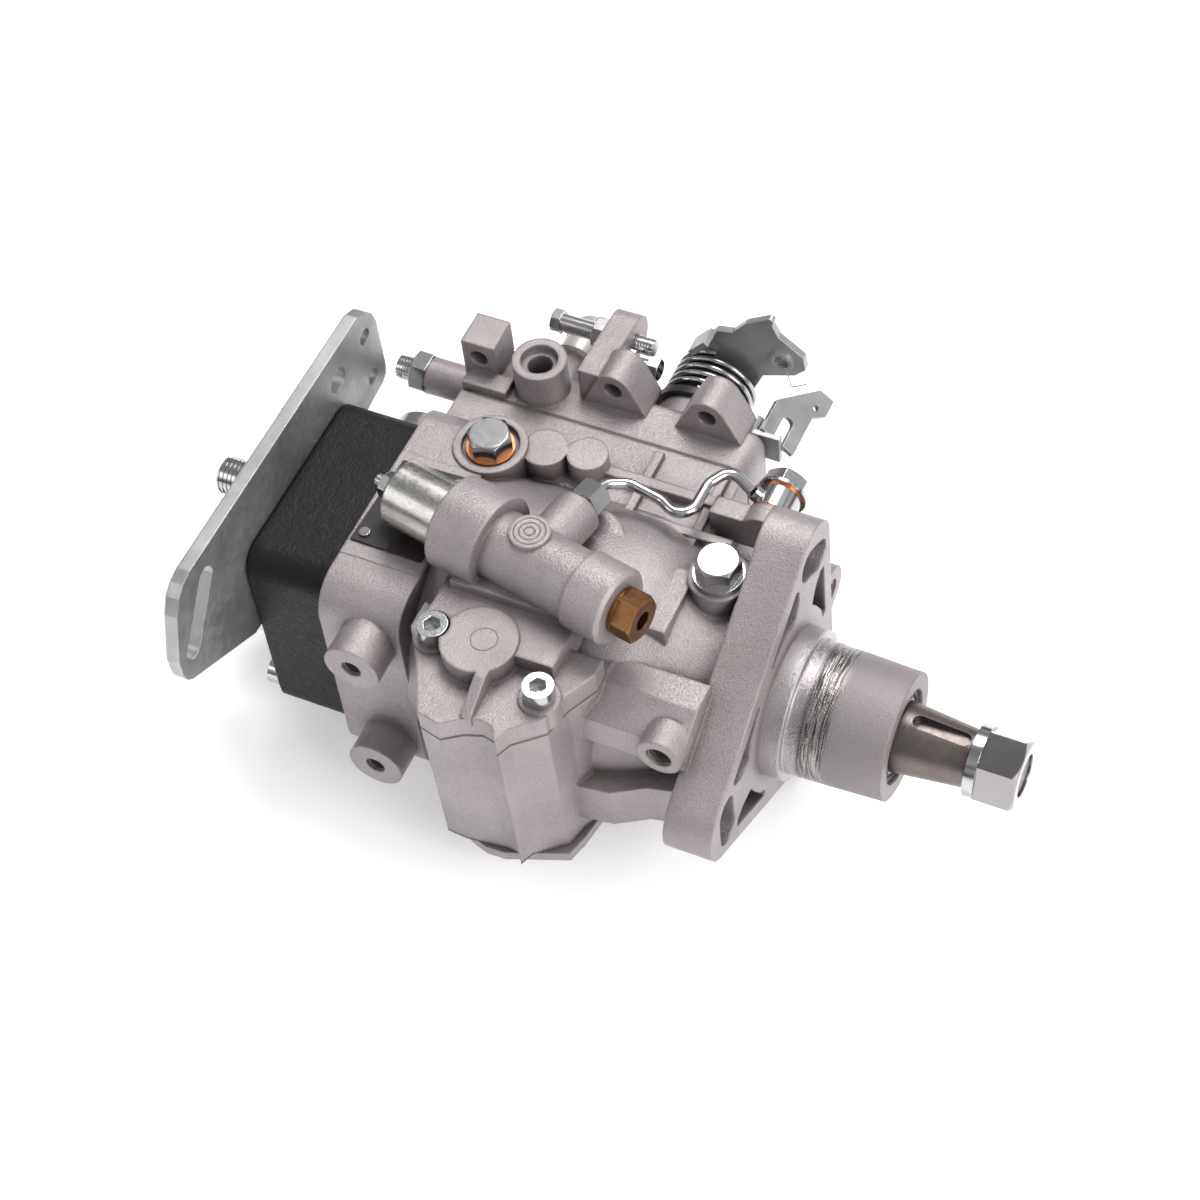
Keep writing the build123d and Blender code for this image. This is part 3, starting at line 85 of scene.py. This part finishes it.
def addNoise(tree, where, scale, detail=3.0, rough=0.55, stretch=None):
    noise = tree.nodes.new("ShaderNodeTexNoise")
    noise.inputs["Scale"].default_value = scale
    noise.inputs["Detail"].default_value = detail
    noise.inputs["Roughness"].default_value = rough
    if stretch:
        mapping = tree.nodes.new("ShaderNodeMapping")
        mapping.inputs["Scale"].default_value = stretch
        tree.links.new(where, mapping.inputs["Vector"])
        tree.links.new(mapping.outputs["Vector"], noise.inputs["Vector"])
    else:
        tree.links.new(where, noise.inputs["Vector"])
    return noise.outputs["Fac"]


def addRamp(tree, source, stops):
    ramp = tree.nodes.new("ShaderNodeValToRGB")
    elements = ramp.color_ramp.elements
    while len(elements) < len(stops):
        elements.new(0.5)
    for element, (place, color) in zip(elements, stops):
        element.position = place
        element.color = (*color, 1.0)
    tree.links.new(source, ramp.inputs["Fac"])
    return ramp.outputs["Color"]


def addRange(tree, source, low, high, fromLow=0.3, fromHigh=0.7):
    spread = tree.nodes.new("ShaderNodeMapRange")
    spread.inputs["From Min"].default_value = fromLow
    spread.inputs["From Max"].default_value = fromHigh
    spread.inputs["To Min"].default_value = low
    spread.inputs["To Max"].default_value = high
    tree.links.new(source, spread.inputs["Value"])
    return spread.outputs["Result"]


def addBump(tree, shader, heights, edge=0.0):
    normal = None
    if edge:
        bevel = tree.nodes.new("ShaderNodeBevel")
        bevel.samples = 4
        bevel.inputs["Radius"].default_value = edge
        normal = bevel.outputs["Normal"]
    for source, strength, distance in heights:
        bump = tree.nodes.new("ShaderNodeBump")
        bump.inputs["Strength"].default_value = strength
        bump.inputs["Distance"].default_value = distance
        tree.links.new(source, bump.inputs["Height"])
        if normal:
            tree.links.new(normal, bump.inputs["Normal"])
        normal = bump.outputs["Normal"]
    if normal:
        tree.links.new(normal, shader.inputs["Normal"])


# a share or a colour may be a plain value or a socket
def addMix(tree, share, first, second, kind="MIX"):
    mix = tree.nodes.new("ShaderNodeMixRGB")
    mix.blend_type = kind
    for name, value in (("Fac", share), ("Color1", first), ("Color2", second)):
        if isinstance(value, bpy.types.NodeSocket):
            tree.links.new(value, mix.inputs[name])
        elif name == "Fac":
            mix.inputs[name].default_value = value
        else:
            mix.inputs[name].default_value = (*value, 1)
    return mix.outputs["Color"]


# painted shade: darker where the surface is hemmed in, standing for the shade that falls in recesses and
# corners
def addPaintedRecessShade(tree, color, reach, dark):
    hollow = tree.nodes.new("ShaderNodeAmbientOcclusion")
    hollow.samples = 6
    hollow.inputs["Distance"].default_value = reach
    shade = addRamp(tree, hollow.outputs["AO"], [(0.25, dark), (0.85, white)])
    return addMix(tree, 1.0, color, shade, "MULTIPLY")


def castMetal(name, look):
    material, tree, shader, where = newMaterial(name)
    broad = addNoise(tree, where, 38, 4)
    grain = addNoise(tree, where, look["grain"], 2, 0.7)
    pits = addNoise(tree, where, look["grain"] * 0.45, 3, 0.8)
    tint = addRamp(tree, broad, [(0.3, look["dark"]), (0.7, look["light"])])
    speckle = addRamp(tree, grain, [(0.28, look["speck"]), (0.5, white)])
    # the cast colour times the painted shade in recesses
    color = addPaintedRecessShade(tree, addMix(tree, 0.62, tint, speckle, "MULTIPLY"), 0.007, look["recessShade"])
    tree.links.new(color, shader.inputs["Base Color"])
    shader.inputs["Metallic"].default_value = look["metal"]
    shader.inputs["Specular IOR Level"].default_value = look["shine"]
    tree.links.new(addRange(tree, pits, *look["rough"]), shader.inputs["Roughness"])
    addBump(tree, shader, [(grain, look["bump"], 0.0004), (pits, look["bump"] * 0.6, 0.0006)], look["edge"])
    return material


# the snout of the housing: pilot, scored band, then the cast skin, by distance from the flange; the darkening
# past the scored band is partly the cast skin's tone and partly painted reflection of the turned metal
snoutLook = {
    "pilotStart": (0.0004, 0.0009), "length": 0.0393, "wear": 0.06,
    # colours by distance along the snout; the dark stops past the scored band are partly painted reflection
    "bandAndReflection": [
        (0.0, (0.36, 0.335, 0.34)), (0.12, (0.48, 0.45, 0.455)), (0.27, (0.40, 0.37, 0.375)),
        (0.31, (0.20, 0.185, 0.185)), (0.36, (0.46, 0.43, 0.42)), (0.50, (0.34, 0.315, 0.31)),
        (0.545, (0.25, 0.224, 0.227)), (1.0, (0.275, 0.245, 0.248))
    ],
    "scored": [(0.28, (0, 0, 0)), (0.31, white), (0.49, white), (0.54, (0, 0, 0))],
    "marks": [(0.40, (0.10, 0.09, 0.085)), (0.56, white)],
    "rough": [(0.0, grey(0.34)), (0.30, grey(0.17)), (0.48, grey(0.2)), (0.56, grey(0.5))],
    "metal": [(0.0, grey(0.7)), (0.30, white), (0.48, white), (0.56, grey(0.5))]
}


def turnedFront(material, look):
    tree = material.node_tree
    shader = tree.nodes["Principled BSDF"]
    where = next(node for node in tree.nodes if node.type == "TEX_COORD").outputs["Object"]
    parts = tree.nodes.new("ShaderNodeSeparateXYZ")
    tree.links.new(where, parts.inputs["Vector"])
    streaks = addNoise(tree, where, 300, 3, 0.6, (9, 0.35, 0.35))
    front = addRange(tree, parts.outputs["X"], 0.0, 1.0, *look["pilotStart"])
    worn = tree.nodes.new("ShaderNodeMath")
    worn.operation = "MULTIPLY_ADD"
    worn.inputs[1].default_value = look["wear"]
    tree.links.new(streaks, worn.inputs[0])
    shift = -look["wear"] / 2
    tree.links.new(addRange(tree, parts.outputs["X"], shift, 1 + shift, 0.0, look["length"]), worn.inputs[2])
    along = worn.outputs[0]
    # snout colours, with partly painted reflection in the dark run past the scored band
    bandAndReflection = addRamp(tree, along, look["bandAndReflection"])
    scored = addRamp(tree, along, look["scored"])
    marks = addRamp(tree, streaks, look["marks"])
    color = addMix(tree, scored, bandAndReflection, marks, "MULTIPLY")
    polish = addRamp(tree, along, look["rough"])
    bright = addRamp(tree, along, look["metal"])
    for name, source in (("Base Color", color), ("Roughness", polish), ("Metallic", bright)):
        socket = shader.inputs[name]
        cast = socket.links[0].from_socket if socket.links else grey(socket.default_value)
        tree.links.new(addMix(tree, front, cast, source), socket)
    return material


def plainMetal(name, look):
    material, tree, shader, where = newMaterial(name)
    broad = addNoise(tree, where, look.get("scale", 60), 3)
    fine = addNoise(tree, where, look.get("fine", 900), 2, 0.6, look.get("stretch"))
    tint = addRamp(tree, broad, [(0.3, look["dark"]), (0.7, look["light"])])
    tree.links.new(tint, shader.inputs["Base Color"])
    shader.inputs["Metallic"].default_value = look.get("metal", 1.0)
    tree.links.new(addRange(tree, fine, *look["rough"]), shader.inputs["Roughness"])
    addBump(tree, shader, [(fine, look.get("bump", 0.08), 0.0002)], look.get("edge", 0.0003))
    return material


aluminiumLook = {
    "light": (0.40, 0.36, 0.362), "dark": (0.31, 0.277, 0.278), "speck": (0.5, 0.47, 0.46), "grain": 1900,
    "metal": 0.6, "rough": (0.32, 0.54), "bump": 0.55, "edge": 0.0013, "recessShade": (0.36, 0.33, 0.32),
    "shine": 0.5
}
ironLook = {
    "light": (0.0125, 0.0115, 0.012), "dark": (0.0065, 0.0062, 0.0065), "speck": (0.6, 0.6, 0.6),
    "grain": 700, "metal": 0.1, "rough": (0.42, 0.6), "bump": 0.7, "edge": 0.0014,
    "recessShade": (0.5, 0.5, 0.5), "shine": 0.26
}
zincLook = {
    "light": (0.52, 0.52, 0.52), "dark": (0.46, 0.46, 0.46), "scale": 80, "fine": 700, "rough": (0.14, 0.19),
    "bump": 0.03, "edge": 0.0004
}
sheetLook = {
    "light": (0.50, 0.50, 0.505), "dark": (0.33, 0.33, 0.335), "scale": 45, "fine": 420, "rough": (0.34, 0.5),
    "bump": 0.05, "edge": 0.0006, "metal": 0.8
}
canLook = {
    "light": (0.52, 0.51, 0.48), "dark": (0.39, 0.38, 0.355), "scale": 90, "fine": 500, "rough": (0.22, 0.36),
    "stretch": (1, 1, 6), "bump": 0.03, "edge": 0.0006
}
steelLook = {
    "light": (0.21, 0.184, 0.172), "dark": (0.14, 0.12, 0.112), "scale": 90, "fine": 420,
    "rough": (0.34, 0.48),
    "stretch": (6, 1, 1), "bump": 0.06, "edge": 0.0003
}
brassLook = {
    "light": (0.29, 0.142, 0.06), "dark": (0.18, 0.082, 0.034), "scale": 150, "rough": (0.28, 0.44),
    "edge": 0.0004
}
copperLook = {
    "light": (0.86, 0.36, 0.16), "dark": (0.74, 0.27, 0.11), "scale": 150, "rough": (0.3, 0.5), "edge": 0.0002
}
rubberLook = {
    "light": (0.018, 0.018, 0.019), "dark": (0.010, 0.010, 0.011), "scale": 90, "fine": 1800,
    "rough": (0.32, 0.5), "metal": 0.0, "bump": 0.12, "edge": 0.0005
}
fibreLook = {
    "light": (0.12, 0.11, 0.10), "dark": (0.07, 0.065, 0.06), "scale": 400, "fine": 2500, "rough": (0.6, 0.8),
    "metal": 0.0, "bump": 0.3
}
enamelLook = {
    "light": (0.022, 0.018, 0.016), "dark": (0.013, 0.011, 0.010), "scale": 220, "fine": 1600,
    "rough": (0.28, 0.5), "metal": 0.1, "bump": 0.05
}
wireLook = {
    "light": (0.50, 0.50, 0.50), "dark": (0.34, 0.34, 0.345), "scale": 160, "rough": (0.16, 0.28),
    "edge": 0.0002
}
nutLook = {
    "light": (0.34, 0.328, 0.325), "dark": (0.31, 0.298, 0.295), "scale": 60, "fine": 500,
    "rough": (0.08, 0.11),
    "bump": 0.03, "edge": 0.0006
}
paintLook = {
    "light": (0.95, 0.42, 0.02), "dark": (0.86, 0.34, 0.01), "scale": 500, "rough": (0.35, 0.5), "metal": 0.0
}
paleLook = {
    "light": (0.56, 0.525, 0.495), "dark": (0.45, 0.42, 0.39), "scale": 140, "rough": (0.34, 0.5),
    "metal": 0.35,
    "edge": 0.0008
}

castAluminium = castMetal("castAluminium", aluminiumLook)
housingAluminium = turnedFront(castMetal("housingAluminium", aluminiumLook), snoutLook)
blackIron = castMetal("blackIron", ironLook)
zincPlate = plainMetal("zincPlate", zincLook)
darkSteel = plainMetal("darkSteel", steelLook)
turnedBrass = plainMetal("turnedBrass", brassLook)
softCopper = plainMetal("softCopper", copperLook)
blackRubber = plainMetal("blackRubber", rubberLook)
pressedFibre = plainMetal("pressedFibre", fibreLook)
plateEnamel = plainMetal("plateEnamel", enamelLook)
palePlate = plainMetal("palePlate", paleLook)
platedSheet = plainMetal("platedSheet", sheetLook)
drawnCan = plainMetal("drawnCan", canLook)
wireSteel = plainMetal("wireSteel", wireLook)
yellowPaint = plainMetal("yellowPaint", paintLook)
brightNut = plainMetal("brightNut", nutLook)

finishes = {
    "cast_aluminium": castAluminium, "black_iron": blackIron, "zinc_steel": zincPlate,
    "bare_steel": darkSteel, "brass": turnedBrass, "copper": softCopper,
    "black_rubber": blackRubber, "black_plastic": blackRubber,
    "gasket_fibre": pressedFibre, "plate_enamel": plateEnamel
}
for part in frame["record"]["subparts"]:
    mesh = nodes[part["node"]].data
    mesh.materials.clear()
    mesh.materials.append(finishes[part["material_slot"]])
for name, material in (
    ("return_union", palePlate), ("return_bolt", palePlate), ("pump_housing", housingAluminium),
    ("rear_support_plate", platedSheet), ("throttle_lever", platedSheet), ("spring_bracket", platedSheet),
    ("cold_start_valve", drawnCan), ("stop_solenoid", drawnCan), ("throttle_spring", wireSteel),
    ("shaft_nut", brightNut), ("lock_washer", zincPlate)
):
    nodes[name].data.materials[0] = material
print("materials ready")


# places a piece whose own axis is Z
def aimed(start, direction):
    turn = Vector((0, 0, 1)).rotation_difference(Vector(direction)).to_matrix().to_4x4()
    return Matrix.Translation(start) @ turn


# leaves the finished piece at the origin, unturned and unscaled
def settle(piece, name, material, body):
    bpy.ops.object.select_all(action="DESELECT")
    piece.select_set(True)
    bpy.context.view_layer.objects.active = piece
    bpy.ops.object.transform_apply(location=True, rotation=True, scale=True)
    bpy.ops.object.shade_smooth_by_angle(angle=math.radians(35))
    piece.name = name
    piece.data.materials.clear()
    piece.data.materials.append(material)
    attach(piece, body)
    return piece


# winds a profile about Z
def screwed(piece, pitch, length, steps=20):
    bpy.ops.object.transform_apply(location=True, rotation=True, scale=True)
    turning = piece.modifiers.new("thread", "SCREW")
    turning.axis = "Z"
    turning.screw_offset = pitch
    turning.iterations = max(1, int(length / pitch + 0.01))
    turning.steps = steps
    turning.render_steps = steps
    bpy.ops.object.modifier_apply(modifier="thread")


# a three-sided ridge just proud of the plain cylinder, or of a bore's wall
def addThread(name, look, start, direction, material, body="housing"):
    pitch = look["pitch"]
    inward = look.get("inward", False)
    bpy.ops.object.select_all(action="DESELECT")
    bpy.ops.mesh.primitive_circle_add(vertices=3, radius=pitch * 0.577)
    piece = bpy.context.object
    side = -1 if inward else 1
    turn = Matrix(((0, side, 0, 0), (0, 0, side, 0), (1, 0, 0, 0), (0, 0, 0, 1)))
    reach = look["radius"] - side * pitch * 0.27  # the ridge's root is sunk in the metal
    piece.matrix_world = Matrix.Translation((reach, 0, pitch * 0.5)) @ turn
    screwed(piece, pitch, look["length"] - pitch)
    piece.matrix_world = aimed(start, direction)
    return settle(piece, name, material, body)


def addRing(name, center, radius, wire, material, body, flat=1.0):
    bpy.ops.object.select_all(action="DESELECT")
    bpy.ops.mesh.primitive_torus_add(
        major_radius=radius, minor_radius=wire, major_segments=48, minor_segments=10, location=center
    )
    piece = bpy.context.object
    piece.scale = (1, 1, flat)
    return settle(piece, name, material, body)


def addTwist(name, start, end, look, body):
    along = Vector(end) - Vector(start)
    for strand, side in (("A", 1), ("B", -1)):
        bpy.ops.object.select_all(action="DESELECT")
        bpy.ops.mesh.primitive_circle_add(
            vertices=8, radius=look["wire"], location=(side * look["wire"], 0, 0),
            rotation=(math.radians(90), 0, 0)
        )
        piece = bpy.context.object
        screwed(piece, look["pitch"], along.length, 12)
        piece.matrix_world = aimed(start, along)
        settle(piece, name + strand, wireSteel, body)


adjusterThread = {"radius": 0.003, "pitch": 0.001, "length": 0.0114}
stopThread = {"radius": 0.003, "pitch": 0.001, "length": 0.0064}
fullLoadThread = {"radius": 0.004, "pitch": 0.001, "length": 0.0056}
outletThread = {"radius": 0.006, "pitch": 0.0015, "length": 0.0150}
terminalThread = {"radius": 0.002, "pitch": 0.0007, "length": 0.0028}
portThread = {"radius": 0.00425, "pitch": 0.00125, "length": 0.0112, "inward": True}
bossThread = {"radius": 0.0034, "pitch": 0.00125, "length": 0.0112, "inward": True}
bushThread = {"radius": 0.0026, "pitch": 0.0008, "length": 0.0064, "inward": True}

addThread("speedScrewThread", adjusterThread, (-0.1052, 0.091, 0.0375), (-1, 0, 0), zincPlate)
addThread("speedScrewTip", stopThread, (-0.0903, 0.091, 0.0375), (1, 0, 0), zincPlate)
addThread("fullLoadThread", fullLoadThread, (-0.1663, 0.0715, 0.0145), (-1, 0, 0), zincPlate)
for index in range(4):
    angle = math.radians(90 * index)
    place = (-0.1845, 0.026 * math.cos(angle), 0.026 * math.sin(angle))
    addThread(f"outletThread{index + 1}", outletThread, place, (-1, 0, 0), zincPlate)
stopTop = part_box("stop_solenoid")[1][1]
stopStart = (-0.1535, stopTop - 0.0029, 0.004)
addThread("stopTerminalThread", terminalThread, stopStart, (0, 1, 0), zincPlate)
coldTurn = math.radians(-11.5)  # the cold-start unit's axis, turned about Z
coldReach = Vector((math.cos(coldTurn), math.sin(coldTurn), 0))
coldStart = Vector((-0.081, -0.016, 0.057)) - coldReach * 0.0522
addThread("coldTerminalThread", terminalThread, coldStart, -coldReach, zincPlate)
addThread("sidePortThread", portThread, (-0.021, -0.0496, 0.025), (0, 1, 0), darkSteel)
for name, z in (("rearBossThreadHigh", 0.027), ("rearBossThreadLow", -0.027)):
    addThread(name, bossThread, (-0.123, -0.0556, z), (0, 1, 0), darkSteel)
bushStart = (-0.0425, 0.1004, 0.037)
addThread("leverBushThread", bushThread, bushStart, (0, 1, 0), wireSteel, "throttle")
print("threads ready")

castRings = {
    "center": (-0.076, -0.015, 0.0695), "radii": (0.0016, 0.0033, 0.0050), "wire": 0.00028, "flat": 0.6
}
for index, radius in enumerate(castRings["radii"]):
    addRing(f"castRing{index + 1}", castRings["center"], radius, castRings["wire"], castAluminium,
            "housing", castRings["flat"])
domeRing = {"center": (-0.0795, -0.0445, 0.0500), "radius": 0.0042, "wire": 0.00016}
addRing("domeMark", domeRing["center"], domeRing["radius"], domeRing["wire"], castAluminium,
        "housing")

# a dab of paint on the pipe's union nut
dab = {"center": (-0.0712, 0.0186, 0.0524), "radius": 0.0016, "stretch": (1.0, 1.15, 0.62)}
bpy.ops.object.select_all(action="DESELECT")
bpy.ops.mesh.primitive_uv_sphere_add(
    segments=24, ring_count=12, radius=dab["radius"], location=dab["center"]
)
paintDot = bpy.context.object
paintDot.scale = dab["stretch"]
settle(paintDot, "paintDot", yellowPaint, "housing")

# the seal wire hangs from the lever and turns with it
sealLook = {"wire": 0.00016, "pitch": 0.0016}
sealBend = (-0.0345, 0.0905, 0.0385)
addTwist("sealWireLong", (-0.0400, 0.0990, 0.0365), sealBend, sealLook, "throttle")
addTwist("sealWireShort", sealBend, (-0.0300, 0.0925, 0.0395), sealLook, "throttle")


# the same spring as the CAD's, rebuilt as a coil in its place
def addTimingSpring(look):
    wire = look["wire"]
    low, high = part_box("timing_spring")
    middle = ((low[0] + high[0]) / 2, (low[1] + high[1]) / 2, low[2] + wire)
    length = high[2] - low[2] - 2 * wire
    bpy.ops.object.select_all(action="DESELECT")
    bpy.ops.mesh.primitive_circle_add(
        vertices=12, radius=wire, location=((high[0] - low[0]) / 2 - wire, 0, 0),
        rotation=(math.radians(90), 0, 0)
    )
    piece = bpy.context.object
    screwed(piece, length / look["turns"], length, 24)
    bpy.ops.object.mode_set(mode="EDIT")
    bpy.ops.mesh.select_all(action="SELECT")
    bpy.ops.mesh.fill_holes(sides=0)
    bpy.ops.mesh.normals_make_consistent(inside=False)
    bpy.ops.object.mode_set(mode="OBJECT")
    piece.matrix_world = Matrix.Translation(middle)
    settle(piece, "timingSpring", darkSteel, "housing")
    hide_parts("timing_spring")
    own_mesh(piece)


addTimingSpring({"wire": 0.0012, "turns": 4, "travel": 0.006, "foot": -0.032})
print("small pieces ready")


floorLook = {
    "size": 6.0, "gap": 0.0004, "light": grey(0.935), "dark": grey(0.925), "rough": 0.9, "glow": 0.26
}


def addFloor(look):
    low = cadBox[0][2]
    bpy.ops.mesh.primitive_plane_add(size=look["size"], location=(0, 0, low - look["gap"]))
    floor = bpy.context.object
    floor.name = "studioFloor"
    material, tree, shader, where = newMaterial("studioWhite")
    shader.inputs["Roughness"].default_value = look["rough"]
    shader.inputs["Emission Color"].default_value = (1, 1, 1, 1)
    shader.inputs["Emission Strength"].default_value = look["glow"]
    tint = addRamp(tree, addNoise(tree, where, 3.0), [(0.3, look["dark"]), (0.7, look["light"])])
    tree.links.new(tint, shader.inputs["Base Color"])
    floor.data.materials.append(material)


# brightness by height and by side; the camera itself sees plain white
skyLook = {
    "height": [
        (0.0, (0.10, 0.096, 0.10)), (0.24, (0.13, 0.125, 0.13)), (0.34, (0.55, 0.55, 0.56)),
        (0.48, (0.88, 0.88, 0.89)), (0.60, (0.30, 0.30, 0.31)), (0.72, white), (1.0, (0.46, 0.46, 0.47))
    ],
    "side": [(0.0, grey(0.45)), (0.4, grey(0.55)), (0.7, grey(0.95)), (1.0, white)]
}


def addWorld(look):
    world = bpy.data.worlds.new("studio")
    bpy.context.scene.world = world
    world.use_nodes = True
    tree = world.node_tree
    background = tree.nodes["Background"]
    rays = tree.nodes.new("ShaderNodeLightPath")
    where = tree.nodes.new("ShaderNodeTexCoord")
    parts = tree.nodes.new("ShaderNodeSeparateXYZ")
    tree.links.new(where.outputs["Generated"], parts.inputs["Vector"])
    sky = addRamp(tree, addRange(tree, parts.outputs["Z"], 0.0, 1.0, -0.2, 1.0), look["height"])
    sides = addRamp(tree, addRange(tree, parts.outputs["X"], 0.0, 1.0, -1.0, 1.0), look["side"])
    both = addMix(tree, 1.0, sky, sides, "MULTIPLY")
    seen = addMix(tree, rays.outputs["Is Camera Ray"], both, white)
    tree.links.new(seen, background.inputs["Color"])


def addLamp(name, place, target, size, power):
    bpy.ops.object.light_add(type="AREA", location=place)
    lamp = bpy.context.object
    lamp.name = name
    lamp.data.size = size
    lamp.data.energy = power
    aim = Vector(target) - Vector(place)
    lamp.rotation_euler = aim.to_track_quat("-Z", "Y").to_euler()


cameraLook = {
    "right": (0.907, 0.413, -0.079), "back": (0.306, -0.520, 0.798), "place": (0.2175, -0.4775, 0.7547),
    "lens": 87.03, "sensor": 36.0
}


def addCamera(look):
    right = Vector(look["right"]).normalized()
    back = Vector(look["back"]).normalized()
    up = back.cross(right).normalized()
    right = up.cross(back)
    bpy.ops.object.camera_add()
    camera = bpy.context.object
    camera.data.lens = look["lens"]
    camera.data.sensor_width = look["sensor"]
    turn = Matrix((right, up, back)).transposed().to_4x4()
    camera.matrix_world = Matrix.Translation(look["place"]) @ turn
    bpy.context.scene.camera = camera


addFloor(floorLook)
addWorld(skyLook)
addLamp("keyLamp", (-0.12, 0.5, 0.95), (-0.06, 0, 0), 0.55, 9.0)
addLamp("fillLamp", (0.75, -0.25, 0.55), (-0.02, 0, 0), 0.5, 7.0)
addLamp("rimLamp", (-0.7, -0.5, 0.5), (-0.1, 0, 0), 0.5, 1.6)
addCamera(cameraLook)
bpy.context.scene.view_settings.view_transform = "Standard"
print("studio ready")
